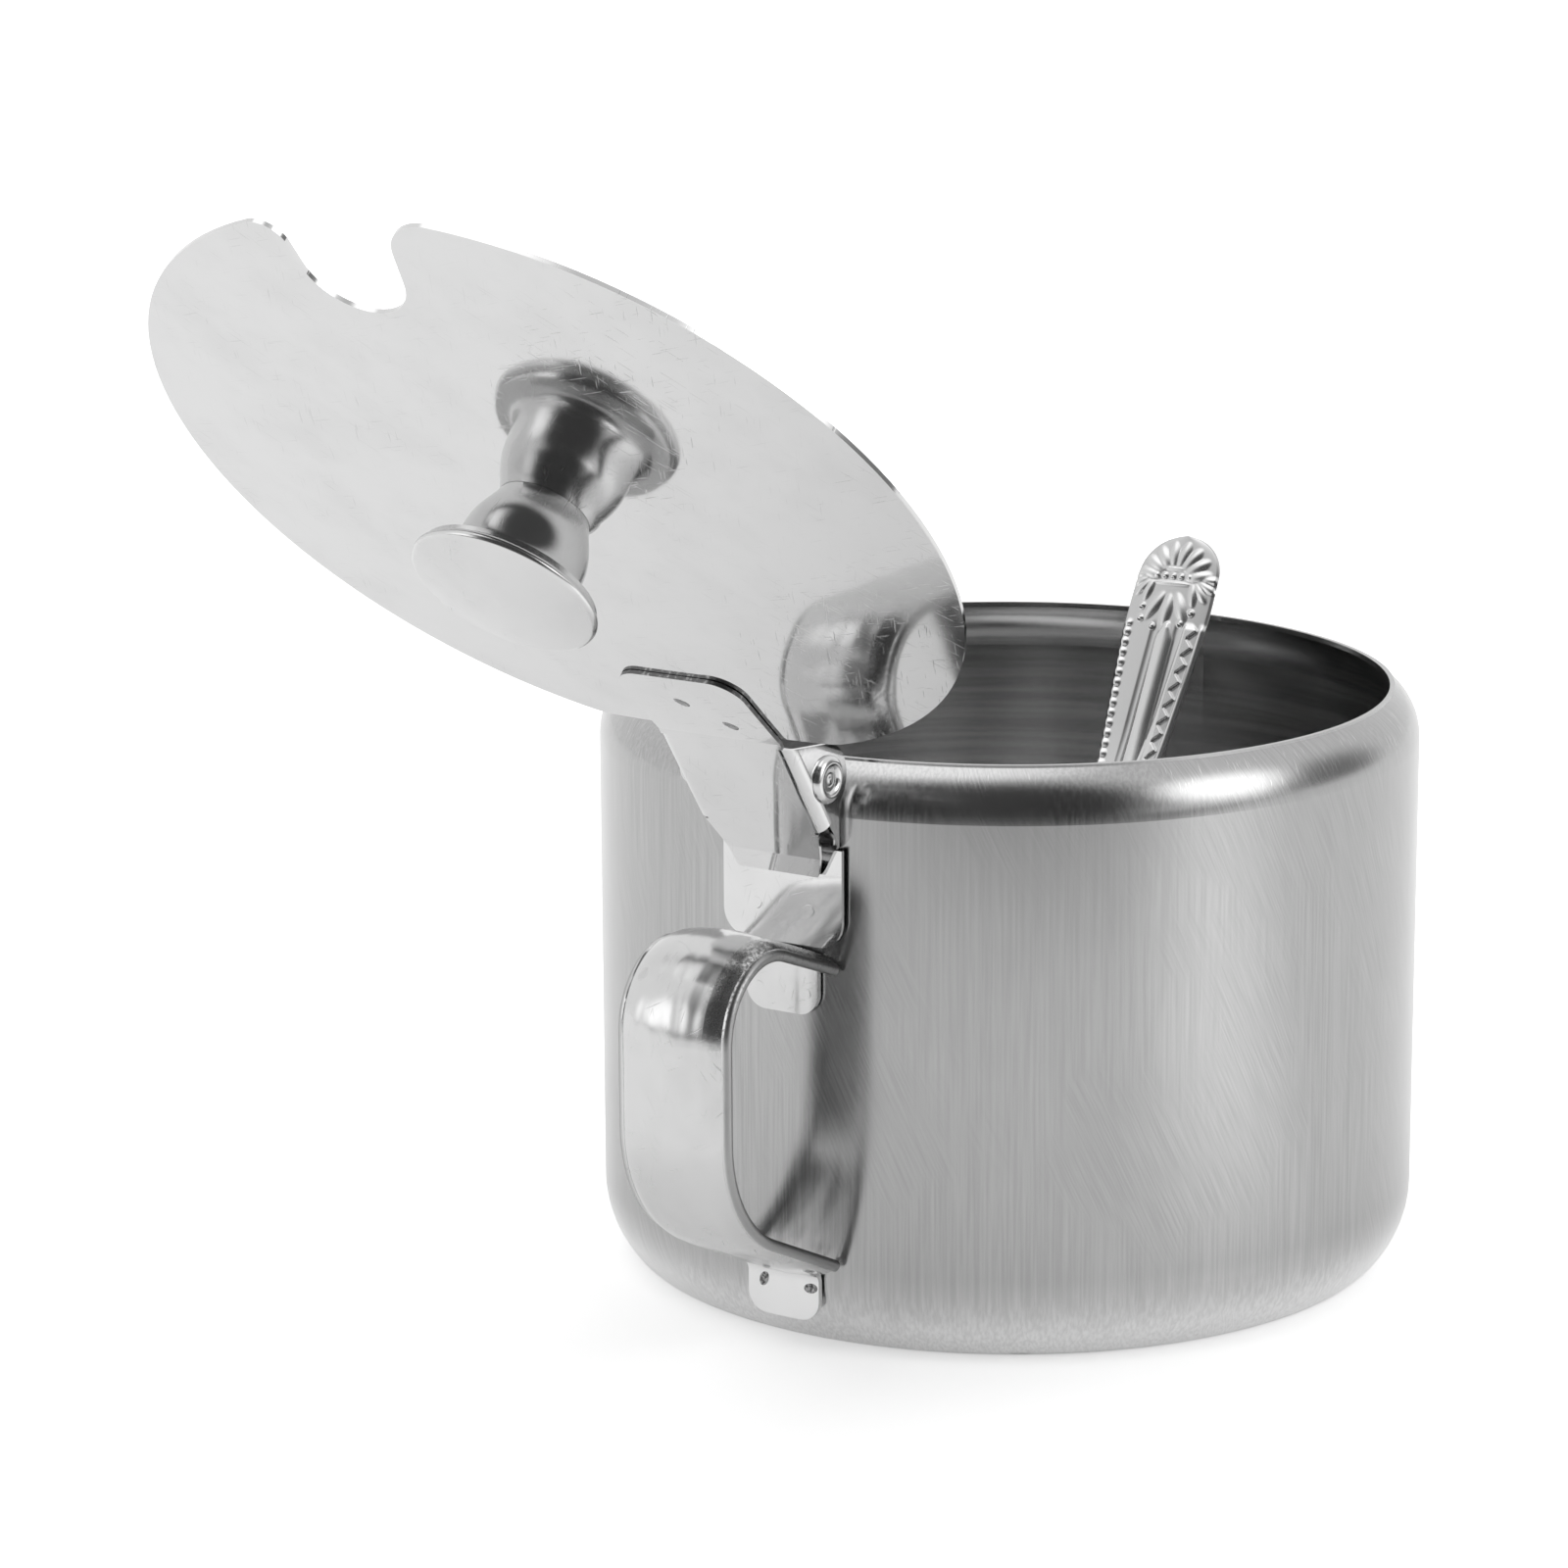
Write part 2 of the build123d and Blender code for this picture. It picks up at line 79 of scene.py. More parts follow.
# %% [markdown]
# ## Small helpers for node materials
# A material in Blender is a graph of nodes, and building one takes the same few moves each time.
# They get short names here. start_material gives an empty graph, node adds a node and joins or sets
# its inputs, maths does one sum, soft_step turns a value into a smooth ramp between two others,
# along measures a vector along a direction, grey makes a colour of one value, and wear puts a
# finished material on a part.

# %% Node helpers
def start_material(name):
    made = bpy.data.materials.new(name)
    made.use_nodes = True
    made.node_tree.nodes.clear()
    return made


def node(tree, kind, inputs=None, **settings):
    made = tree.nodes.new("ShaderNode" + kind)
    for key, value in settings.items():
        setattr(made, key, value)
    for key, value in (inputs or {}).items():
        if isinstance(value, bpy.types.NodeSocket):
            tree.links.new(value, made.inputs[key])
        else:
            made.inputs[key].default_value = value
    return made


def maths(tree, operation, first, second=0.0):
    return node(tree, "Math", {0: first, 1: second}, operation=operation).outputs[0]


def soft_step(tree, value, start, end, low=0.0, high=1.0):
    return node(tree, "MapRange", {"Value": value, "From Min": start, "From Max": end, "To Min": low,
                                   "To Max": high}, interpolation_type="SMOOTHSTEP").outputs["Result"]


def along(tree, vector, axis):
    return node(tree, "VectorMath", {0: vector, 1: axis}, operation="DOT_PRODUCT").outputs["Value"]


def grey(tree, value):
    return node(tree, "CombineColor", {0: value, 1: value, 2: value}).outputs[0]


def wear(part, finish):
    part.data.materials.clear()
    part.data.materials.append(finish)


print("node helpers ready")

# %% [markdown]
# ## A plain white table
# Polished steel has no colour of its own. It shows what stands around it, so most of the look of
# this jar is the look of the room: white paper that runs out of the picture, a dim room behind the
# camera, and soft lamps at the sides. The paper is one large flat face, so a grid of one by one is
# all it needs.

# %% The floor
FLOOR_HALF = 4.0
sheet_mesh = bmesh.new()
bmesh.ops.create_grid(sheet_mesh, x_segments=1, y_segments=1, size=FLOOR_HALF)
floor_data = bpy.data.meshes.new("white_floor")
sheet_mesh.to_mesh(floor_data)
sheet_mesh.free()
floor = bpy.data.objects.new("white_floor", floor_data)
scene.collection.objects.link(floor)
print("floor reaches", FLOOR_HALF, "m each way")

# %% [markdown]
# The paper is a plain matt white, so the real light on it still draws the jar's shadow. More light
# would make it whiter, and would burn the metal out too. Instead a little glow is added that only
# some rays can see. The Light Path node tells the rays apart: camera rays get the glow that turns
# the paper white in the picture, and the rays that leave the metal get a weaker one.

# %% The paper's two glows
PAPER = 0.9
WHITE = (1, 1, 1, 1)
CAMERA_GLOW = 0.4
METAL_GLOW = 0.2
paper = start_material("white_paper")
tree = paper.node_tree
ray = node(tree, "LightPath")
spot = node(tree, "TexCoord").outputs["Object"]
matt = node(tree, "BsdfDiffuse", {"Color": (PAPER, PAPER, PAPER, 1)})
for_camera = maths(tree, "MULTIPLY", ray.outputs["Is Camera Ray"], CAMERA_GLOW)
print("paper:", PAPER, "with a glow of", CAMERA_GLOW, "for the camera and", METAL_GLOW, "for metal")

# %% [markdown]
# A painted pool of light lies on the table at the side of the right lamp: a glow that only the rays
# leaving the metal see, standing in for the light that lamp would throw there. The pot's wall
# mirrors that painted patch as an upright bright stripe. A radial gradient gives the angle round the
# jar, from 0 to 1, once a Mapping node has turned the table so that the lamp's side is at a half. One
# soft step on that angle makes the patch, and one on the distance keeps it off the jar's foot.

# %% The painted pool of light on the table
LAMP_TURN = math.radians(50)
PATCH_HALF = 0.078
PATCH_GLOW = 0.42
PATCH_STARTS = 0.06
PATCH_FULL = 0.16
toward_camera = math.atan2(-looks_along.y, -looks_along.x)
lamp_side = toward_camera + LAMP_TURN
turned = node(tree, "Mapping", {"Vector": spot, "Rotation": (0, 0, -lamp_side)}).outputs[0]
around = node(tree, "TexGradient", {"Vector": turned}, gradient_type="RADIAL").outputs["Fac"]
from_lamp = maths(tree, "ABSOLUTE", maths(tree, "SUBTRACT", around, 0.5))
reach = node(tree, "VectorMath", {0: spot}, operation="LENGTH").outputs["Value"]
# painted light: the patch is a glow laid on the table, not light from the lamp
painted_light_pool = maths(tree, "MULTIPLY", soft_step(tree, from_lamp, 0.0, PATCH_HALF, PATCH_GLOW, 0.0),
              soft_step(tree, reach, PATCH_STARTS, PATCH_FULL))
for_metal = maths(tree, "MULTIPLY", ray.outputs["Is Glossy Ray"],
                  maths(tree, "ADD", painted_light_pool, METAL_GLOW))
glow = node(tree, "Emission", {"Color": WHITE, "Strength": maths(tree, "ADD", for_metal, for_camera)})
glowing = node(tree, "AddShader", {0: matt.outputs[0], 1: glow.outputs[0]})
print("the patch lies", round(math.degrees(LAMP_TURN)), "degrees to the right of the camera")

# %% [markdown]
# On the camera's side the real table ends and the dim room begins. That gives the steel its dark
# parts, without which it looks like grey plastic. The distance towards the camera decides, and only
# the rays that leave the metal see it, so the paper in the picture stays white to its edge.

# %% Where the table ends
TABLE_DIMS = 0.2
TABLE_ENDS = 0.5
DIM_ROOM = 0.07
towards_lens = along(tree, spot, (-looks_along.x, -looks_along.y, 0))
past_table = maths(tree, "MULTIPLY", ray.outputs["Is Glossy Ray"],
                   soft_step(tree, towards_lens, TABLE_DIMS, TABLE_ENDS))
dim = node(tree, "Emission", {"Color": WHITE, "Strength": DIM_ROOM})
table = node(tree, "MixShader", {0: past_table, 1: glowing.outputs[0], 2: dim.outputs[0]})
node(tree, "OutputMaterial", {"Surface": table.outputs[0]})
wear(floor, paper)
print("the table dims from", TABLE_DIMS, "to", TABLE_ENDS, "m on the camera's side")

# %% [markdown]
# ## The room and its lamps
# Lamps as objects would make hard little highlights. Here the room is painted into the world
# instead, by direction only, which gives the smooth tones of large soft boxes. A Mapping node turns
# the direction so that its X axis points at the camera. Each panel is then the dot product of that
# direction with the panel's own, passed through a soft step: full inside the core angle, gone at
# the edge angle.

# %% Panel helper
world = bpy.data.worlds.new("soft_room")
world.use_nodes = True
scene.world = world
tree = world.node_tree
tree.nodes.clear()
direction = node(tree, "TexCoord").outputs["Generated"]
turned = node(tree, "Mapping", {"Vector": direction, "Rotation": (0, 0, -toward_camera)}).outputs[0]


def aimed(azimuth, elevation):
    across, up = math.radians(azimuth), math.radians(elevation)
    return (math.cos(up) * math.cos(across), math.cos(up) * math.sin(across), math.sin(up))


def panel(azimuth, elevation, core, edge, strength, outside=0.0):
    facing = along(tree, turned, aimed(azimuth, elevation))
    return soft_step(tree, facing, math.cos(math.radians(edge)), math.cos(math.radians(core)),
                     outside, strength)


print("the camera stands at", round(math.degrees(toward_camera)), "degrees round the jar")

# %% [markdown]
# The dim side is the unlit room behind the camera. The gap is a darker slot far to the right, which
# gives the pot a darker band on that side. Both multiply the white room. The lamps are added: a
# strong one at the right, a weak one at the left, and one overhead.

# %% The room
ROOM = 1.0
dim_side = panel(azimuth=-8, elevation=20, core=32, edge=57, strength=DIM_ROOM, outside=ROOM)
right_gap = panel(azimuth=99, elevation=8, core=5, edge=27, strength=0.25, outside=1.0)
side_lamp = panel(azimuth=64, elevation=27, core=3, edge=25, strength=2.0)
left_lamp = panel(azimuth=-68, elevation=14, core=4, edge=20, strength=0.75)
top_lamp = panel(azimuth=-90, elevation=78, core=8, edge=30, strength=0.9)
lamps = maths(tree, "ADD", maths(tree, "ADD", side_lamp, left_lamp), top_lamp)
room = maths(tree, "ADD", maths(tree, "MULTIPLY", dim_side, right_gap), lamps)
camera_ray = node(tree, "LightPath").outputs["Is Camera Ray"]
strength = node(tree, "Mix", {0: camera_ray, 2: room, 3: 1.0}).outputs[0]
sky = node(tree, "Background", {"Color": WHITE, "Strength": strength})
node(tree, "OutputWorld", {"Surface": sky.outputs[0]})
scene.view_settings.view_transform = "Standard"
print("room:", ROOM, "dim side:", DIM_ROOM)

# %% [markdown]
# ## Brushed steel for the pot
# The pot is drawn from sheet and brushed. A metal is a Principled shader with Metallic at 1, whose
# base colour says how much light it gives back. The brush marks could be a photograph of brushed
# steel, but noise in Object coordinates, stretched a long way in one direction, has no seam and
# needs no file. Noise stays near a half and seldom leaves 0.3 to 0.7: a soft step across the middle
# parts it evenly, and one that starts above 0.6 keeps only rare ridges. A Mapping node scales
# before it turns, so a grain on a slant takes two: the first one turns, the second one stretches.

# %% Metal and grain helpers
def metal(name, shade, roughness):
    made = start_material(name)
    tree = made.node_tree
    shader = node(tree, "BsdfPrincipled", {"Base Color": (shade, shade, shade, 1), "Metallic": 1.0,
                                           "Roughness": roughness})
    node(tree, "OutputMaterial", {"Surface": shader.outputs["BSDF"]})
    return made, tree, shader


def stretched_noise(tree, place, scale, detail=3.0, rotation=(0, 0, 0)):
    if any(rotation):
        place = node(tree, "Mapping", {"Vector": place, "Rotation": rotation}).outputs[0]
    mapped = node(tree, "Mapping", {"Vector": place, "Scale": scale}).outputs[0]
    return node(tree, "TexNoise", {"Vector": mapped, "Scale": 1.0, "Detail": detail,
                                   "Roughness": 0.6}).outputs["Fac"]


_, pot_radius, pot_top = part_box("pot_body")[1]
print("pot in mm:", round(pot_top / mm, 1), "high,", round(2 * pot_radius / mm, 1), "across")

# %% [markdown]
# Outside, the wall has fine upright scratches, and in cloudy patches someone has scoured it on a
# slant. A slanted line has to wind round the wall, so it is drawn on the unrolled wall: the angle
# round the pot times its girth is the length along the sheet. Inside, the marks lie level, as the
# lathe left them. Outside and inside are told apart by the direction of the face: outside, it looks
# away from the middle of the pot.

# %% The pot's grain
SATIN = 0.4
SCUFF_SLANT = math.radians(-25)
pot_steel, tree, shader = metal("brushed_pot_steel", SATIN, 0.22)
coordinates = node(tree, "TexCoord")
place = coordinates.outputs["Object"]
height = node(tree, "SeparateXYZ", {0: place}).outputs["Z"]
outward = along(tree, coordinates.outputs["Normal"], place)
outside = soft_step(tree, outward, -5 * mm, 5 * mm)
around = node(tree, "TexGradient", {"Vector": place}, gradient_type="RADIAL").outputs["Fac"]
along_girth = maths(tree, "MULTIPLY", around, math.tau * pot_radius)
unrolled = node(tree, "CombineXYZ", {0: along_girth, 1: height}).outputs[0]
upright_grain = stretched_noise(tree, place, (2600, 2600, 60))
slanted_grain = stretched_noise(tree, unrolled, (5600, 100, 1), 2.0, (0, 0, SCUFF_SLANT))
level_grain = stretched_noise(tree, place, (25, 25, 900))
clouds = stretched_noise(tree, place, (30, 30, 30))
scoured = soft_step(tree, clouds, 0.44, 0.56)
outer_grain = node(tree, "Mix", {0: scoured, 2: upright_grain, 3: slanted_grain}).outputs[0]
grain = node(tree, "Mix", {0: outside, 2: level_grain, 3: outer_grain}).outputs[0]
print("girth of the unrolled wall in mm:", round(math.tau * pot_radius / mm))

# %% [markdown]
# Just under the lip the shoulder has rows of short light ticks, knocked into it in use. They could
# be modelled, but at this size only their shade shows. They are the rare high ridges of an upright
# noise, kept only in a narrow band and only in patches.

# %% The ticks on the shoulder
TICK_SHADE = 0.3
LOWEST_TICK = pot_top - 5.5 * mm
HIGHEST_TICK = pot_top - 0.5 * mm
ridges = stretched_noise(tree, unrolled, (7000, 420, 1), 1.0)
ticks = soft_step(tree, ridges, 0.64, 0.74)
band_low = soft_step(tree, height, LOWEST_TICK, LOWEST_TICK + 1.5 * mm)
band_high = soft_step(tree, height, HIGHEST_TICK, HIGHEST_TICK - 1 * mm)
patches = soft_step(tree, clouds, 0.48, 0.56)
for limit in (band_low, band_high, patches):
    ticks = maths(tree, "MULTIPLY", ticks, limit)
ticks = maths(tree, "MULTIPLY", maths(tree, "MULTIPLY", ticks, TICK_SHADE), outside)
print("ticks lie from", round(LOWEST_TICK / mm, 1), "to", round(HIGHEST_TICK / mm, 1), "mm high")

# %% [markdown]
# The colour is the shade of the side times the grain's. The foot is painted lighter than the wall, a
# painted reflection of the white table close by, and the inside is painted darkest under the
# shoulder, a painted shade. Both are soft steps on the height, which is simpler than a second
# material and leaves no border between the two.

# %% The pot's shade
INSIDE = 0.64
SHADED_INNER_SHOULDER = 0.4
GRAIN_DARK = 0.91
GRAIN_LIGHT = 1.09
# painted shade under the inner shoulder, and a painted reflection of the table on the outer foot
inner_shade = soft_step(tree, height, pot_top - 13 * mm, pot_top - 4 * mm, INSIDE, SHADED_INNER_SHOULDER)
satin_and_painted_bright_foot = soft_step(tree, height, 1 * mm, 11 * mm, 2.0 * SATIN, 1.02 * SATIN)
side = node(tree, "Mix", {0: outside, 2: inner_shade, 3: satin_and_painted_bright_foot}).outputs[0]
brushed = maths(tree, "MULTIPLY", soft_step(tree, grain, 0.3, 0.7, GRAIN_DARK, GRAIN_LIGHT), side)
tree.links.new(grey(tree, maths(tree, "ADD", brushed, ticks)), shader.inputs["Base Color"])
print("pot shades: outside", SATIN, "inside", INSIDE, "under the shoulder", SHADED_INNER_SHOULDER)

# %% [markdown]
# Steel that is brushed one way smears its reflections across the marks and keeps them crisp along
# them. A bump alone can't do that at this distance, because the marks are finer than a pixel.
# Anisotropic does it, and a radial tangent about Z tells it which way the marks run on a round
# wall. The bump only breaks up the highlights a little.

# %% The pot's gloss
ROUGH_LOW = 0.19
ROUGH_HIGH = 0.23
GRAIN_DEPTH = 0.02 * mm
rough = maths(tree, "ADD", soft_step(tree, grain, 0.3, 0.7, ROUGH_LOW, ROUGH_HIGH),
              soft_step(tree, clouds, 0.35, 0.7, -0.02, 0.03))
tree.links.new(rough, shader.inputs["Roughness"])
shader.inputs["Anisotropic"].default_value = 0.5
shader.inputs["Anisotropic Rotation"].default_value = 0.25
round_axis = node(tree, "Tangent", direction_type="RADIAL", axis="Z").outputs[0]
tree.links.new(round_axis, shader.inputs["Tangent"])
scratched = node(tree, "Bump", {"Strength": 0.12, "Distance": GRAIN_DEPTH, "Height": grain})
tree.links.new(scratched.outputs[0], shader.inputs["Normal"])
wear(parts["pot_body"], pot_steel)
print("pot roughness about", ROUGH_LOW, "to", ROUGH_HIGH)

# %% [markdown]
# ## The spoon
# The real spoon is pressed from one sheet: an oval bowl, a narrow arched neck, and a handle that is
# stamped with leaves, beads and a raised rib. The ornament could be a bump texture, but its ridges
# break up the outline and throw real reflections, so here it is modelled. A fine grid is laid out
# along the handle, bent to the handle's outline, thickened, and its top is raised wherever a leaf
# or a bead is stamped. It all happens in millimetres in the spoon's own flat frame, with the bowl's
# tip at zero, and one matrix then leans it in the jar.

# %% The spoon's own frame
SPOON_LEAN = math.radians(32.9)
SPOON_TURN = math.radians(3.3)
SPOON_FOOT = Vector((0.50, 0.03, 1.33))
up_handle = Vector((math.sin(SPOON_LEAN) * math.cos(SPOON_TURN),
                    math.sin(SPOON_LEAN) * math.sin(SPOON_TURN), math.cos(SPOON_LEAN)))
spoon_face = Vector((-math.cos(SPOON_LEAN) * math.cos(SPOON_TURN),
                     -math.cos(SPOON_LEAN) * math.sin(SPOON_TURN), math.sin(SPOON_LEAN)))
spoon_side = spoon_face.cross(up_handle)
spoon_axes = Matrix((up_handle, spoon_side, spoon_face)).transposed().to_4x4()
spoon_place = Matrix.Scale(mm, 4) @ Matrix.Translation(SPOON_FOOT) @ spoon_axes
print("spoon leans", round(math.degrees(SPOON_LEAN), 1), "degrees")

# %% [markdown]
# The handle is widest near its end, narrows to a thin neck, and widens again where it joins the
# bowl. A few half widths along its length say all that, joined by a smooth curve that passes
# through them. A curve object could do it too, but a plain function can be asked at any point. The
# end is a half circle.

# %% The handle's outline
SPOON_WIDTHS = [(27.0, 3.4), (31.0, 2.1), (35.0, 1.9), (41.0, 2.2), (47.0, 2.63), (53.0, 3.2),
                (59.0, 4.05), (65.0, 4.66), (71.0, 5.15), (77.0, 5.6), (83.0, 5.8), (87.6, 5.7)]
END_CENTRE = 87.57
END_RADIUS = 5.7
SPOON_TIP = END_CENTRE + END_RADIUS


def half_width(u):
    if u > END_CENTRE:
        return math.sqrt(max(END_RADIUS ** 2 - (u - END_CENTRE) ** 2, 0.0))
    last = len(SPOON_WIDTHS) - 1
    i = max(k for k in range(last) if SPOON_WIDTHS[k][0] <= max(u, SPOON_WIDTHS[0][0]))
    before, here = SPOON_WIDTHS[max(i - 1, 0)][1], SPOON_WIDTHS[i][1]
    after, later = SPOON_WIDTHS[i + 1][1], SPOON_WIDTHS[min(i + 2, last)][1]
    start, stop = SPOON_WIDTHS[i][0], SPOON_WIDTHS[i + 1][0]
    f = (u - start) / (stop - start)
    return here + f / 2 * (after - before + f * (2 * before - 5 * here + 4 * after - later
                           + f * (3 * (here - after) + later - before)))


print("widest half width:", round(max(half_width(u) for u in range(60, 88)), 2))

# %% [markdown]
# Seen from the side, the neck arches up out of the bowl and comes down slowly along the handle. Two
# smooth steps, one up and one down, are enough for it, and they meet level at the crest. ease is
# the soft step again, this time for plain numbers.

# %% The neck's arch
NECK_START = 27
ARCH_CREST = 43
ARCH_END = 67
ARCH_HEIGHT = 1.7


def ease(f):
    f = min(max(f, 0.0), 1.0)
    return f * f * (3 - 2 * f)


def arch(u):
    rising = ease((u - NECK_START) / (ARCH_CREST - NECK_START))
    falling = ease((ARCH_END - u) / (ARCH_END - ARCH_CREST))
    return ARCH_HEIGHT * (rising if u < ARCH_CREST else falling)


print("arch at the crest:", arch(ARCH_CREST), "mm")

# %% [markdown]
# The stamped figures are all small domes on an oval base: a leaf is a long oval that points away
# from the middle of its fan, a bead is a round one, and a line is a very long one. Each is noted by
# its place from the tip, its place across, its direction, its half length, its half width and its
# height. The head has a large fan at the tip, a smaller one at each side, three leaves that point
# down the handle, loose beads below them, and a row of beads between two lines in the middle.

# %% The stamped figures
figures = []


def fan(s, t, first, last, count, reach, length, width, height):
    for k in range(count):
        turn = math.radians(first + (last - first) * k / max(count - 1, 1))
        figures.append((s - reach * math.cos(turn), t + reach * math.sin(turn), turn,
                        length, width, height))


fan(6.3, 0.5, first=-78, last=78, count=8, reach=3.6, length=2.0, width=0.86, height=0.24)
fan(5.8, -2.3, first=-92, last=-168, count=4, reach=2.4, length=1.8, width=0.6, height=0.22)
fan(5.8, 3.1, first=92, last=168, count=4, reach=2.1, length=1.7, width=0.6, height=0.22)
fan(6.2, 0.3, first=154, last=206, count=3, reach=4.3, length=2.4, width=0.85, height=0.24)
figures += [(s, t, 0, 0.5, 0.5, 0.3) for s, t in ((11.9, 3.7), (12.9, 1.7), (12.6, -0.4),
                                                  (12.2, -2.1), (10.6, -3.2), (10.2, 3.9))]
figures += [(5.75, 2.9 - 1.15 * k, 0, 0.45, 0.45, 0.26) for k in range(5)]
figures += [(s, 0.6, math.pi / 2, 3.7, 0.26, 0.18) for s in (4.75, 6.75)]
print("stamped figures:", len(figures))

# %% [markdown]
# A half round would stand up too sharply for a stamping, so the domes are parabolas. Below the
# head, one border is a low ridge with three-cornered notches and a thin plain rim outside it, and
# the other is a row of beads along the edge. Both repeat along the handle by the same zigzag.

# %% The two borders
TOOTH_PITCH = 2.4
BEAD_PITCH = TOOTH_PITCH / 1.7
BORDER_START = 11.8
BORDER_END = 38.0
RIDGE_HEIGHT = 0.26
RIM_HEIGHT = 0.22
EDGE_BEAD_HEIGHT = 0.3


def dome(distance):
    return max(1 - distance * distance, 0.0)


def zigzag(s, pitch):
    return abs(2 * ((s - BORDER_START) / pitch % 1) - 1)


def border(s, t, half):
    inward = half - abs(t)
    if t > 0:
        bead = dome(math.hypot((inward - 0.3) / 0.95, zigzag(s, BEAD_PITCH) * 0.85))
        return EDGE_BEAD_HEIGHT * bead
    notch = 0.85 + 1.1 * zigzag(s, TOOTH_PITCH)
    ridge = RIDGE_HEIGHT * ease((inward - notch) / 0.25) * (1 - ease((inward - 2.7) / 0.4))
    rim = RIM_HEIGHT * (1 - ease((inward - 0.7) / 0.2))
    return max(ridge, rim)


print("teeth along the handle:", round((BORDER_END - BORDER_START) / TOOTH_PITCH))

# %% [markdown]
# A rib runs down the middle with a groove at each side. It starts as a point under the head and
# soon reaches its full width. Rib, grooves and borders all fade out towards the neck.

# %% The relief
HEAD_END = 15
RIB_SHIFT = -0.4
RIB_HEIGHT = 0.34
FADE_LENGTH = 6


def figure_height(s, t):
    height = 0.0
    for place, across, turn, length, width, rise in figures:
        ds, dt = s - place, t - across
        if abs(ds) < 4 and abs(dt) < 4:
            lengthwise = (-ds * math.cos(turn) + dt * math.sin(turn)) / length
            crosswise = (ds * math.sin(turn) + dt * math.cos(turn)) / width
            height = max(height, rise * dome(math.hypot(lengthwise, crosswise)))
    return height


def stamped(s, t, half):
    height = figure_height(s, t) if s < HEAD_END else 0.0
    if s > BORDER_START:
        fade = ease((BORDER_END - s) / FADE_LENGTH) * ease((s - BORDER_START) / 1.2)
        from_rib = t - RIB_SHIFT
        rib = RIB_HEIGHT * dome(abs(from_rib) / (0.4 + 1.0 * ease((s - BORDER_START) / 3)))
        grooves = 0.13 * dome((from_rib - 1.6) / 0.6) + 0.1 * dome((from_rib + 1.6) / 0.5)
        height = max(height, fade * max(rib, border(s, t, half))) - grooves * fade
    return height


print("relief on the rib in mm:", round(stamped(25, RIB_SHIFT, half_width(SPOON_TIP - 25)), 2))

# %% [markdown]
# The grid gets short rows only where the stamping is, which keeps the piece light. Its points slide
# along and across to the handle's outline, and the rows of the round end are spaced by angle, so
# that they close in evenly on the tip. Solidify gives the sheet its back before the relief is
# pressed in, so the back stays smooth as on the real spoon.

# %% Lay out the handle
PLAIN_ROWS = 30
FINE_ROWS = 190
END_ROWS = 40
ACROSS = 76
HANDLE_START = 27.5
FINE_FROM = 55.0
LAST_TURN = math.radians(87.5)
SPOON_SHEET = 1.2
rows = PLAIN_ROWS + FINE_ROWS + END_ROWS
handle_mesh = bmesh.new()
bmesh.ops.create_grid(handle_mesh, x_segments=rows, y_segments=ACROSS, size=1)
for vert in handle_mesh.verts:
    row = round((vert.co.x + 1) / 2 * rows)
    if row <= PLAIN_ROWS:
        u = HANDLE_START + (FINE_FROM - HANDLE_START) * row / PLAIN_ROWS
    elif row <= PLAIN_ROWS + FINE_ROWS:
        u = FINE_FROM + (END_CENTRE - FINE_FROM) * (row - PLAIN_ROWS) / FINE_ROWS
    else:
        u = END_CENTRE + END_RADIUS * math.sin(LAST_TURN * (row - rows + END_ROWS) / END_ROWS)
    vert.co.x, vert.co.y = u, vert.co.y * half_width(u)
bmesh.ops.solidify(handle_mesh, geom=handle_mesh.faces, thickness=SPOON_SHEET)
print("handle faces:", len(handle_mesh.faces))

# %% [markdown]
# Now every point gets its height. The top follows the arch, is a little crowned across, carries the
# relief and turns down at its edge. The back follows the arch too, and the sheet thins towards its
# edge. The relief is also stored on the points as a value between 0 and 1, for the finish to read.

# %% Press the handle
FACE_RISE = 0.75
FACE_CROWN = 0.25
TURNED_EDGE = 0.18
TURNED_WIDTH = 0.35
BACK_THINNED = 0.6
THINNED_WIDTH = 1.6
FULL_RELIEF = 0.38
top = max(vert.co.z for vert in handle_mesh.verts)
relief_layer = handle_mesh.verts.layers.float.new("relief")
for vert in handle_mesh.verts:
    u, t = vert.co.x, vert.co.y
    half = half_width(u)
    inward = half - abs(t)
    if vert.co.z > top - SPOON_SHEET / 2:
        raised = stamped(SPOON_TIP - u, t, half)
        crown = FACE_CROWN * (1 - (t / max(half, 0.5)) ** 2)
        turned_down = TURNED_EDGE * (1 - ease(inward / TURNED_WIDTH))
        vert.co.z = arch(u) + FACE_RISE + crown + raised - turned_down
        vert[relief_layer] = raised / FULL_RELIEF
    else:
        vert.co.z = arch(u) + BACK_THINNED * (1 - ease(inward / THINNED_WIDTH))
bmesh.ops.recalc_face_normals(handle_mesh, faces=handle_mesh.faces)
print("highest relief:", round(max(vert[relief_layer] for vert in handle_mesh.verts), 2))

# %% [markdown]
# The bowl is an oval dish. It could be spun, but an oval isn't round, so it is the lower half of a
# flattened ball: bisect cuts the upper half away, and solidify gives the rest its thickness. It
# joins the handle's bmesh by way of a short-lived mesh, because a bmesh can only take in more from
# mesh data. Where the neck meets the bowl, the two simply overlap inside the metal, as the neck's
# root is lost in the bowl's wall.

# %% Shape the bowl
BOWL_HALF = Vector((15.5, 10.0, 5.0))
BOWL_WALL = 1.0


def pour_into(mesh, piece, name):
    data = bpy.data.meshes.new(name)
    piece.to_mesh(data)
    piece.free()
    mesh.from_mesh(data)


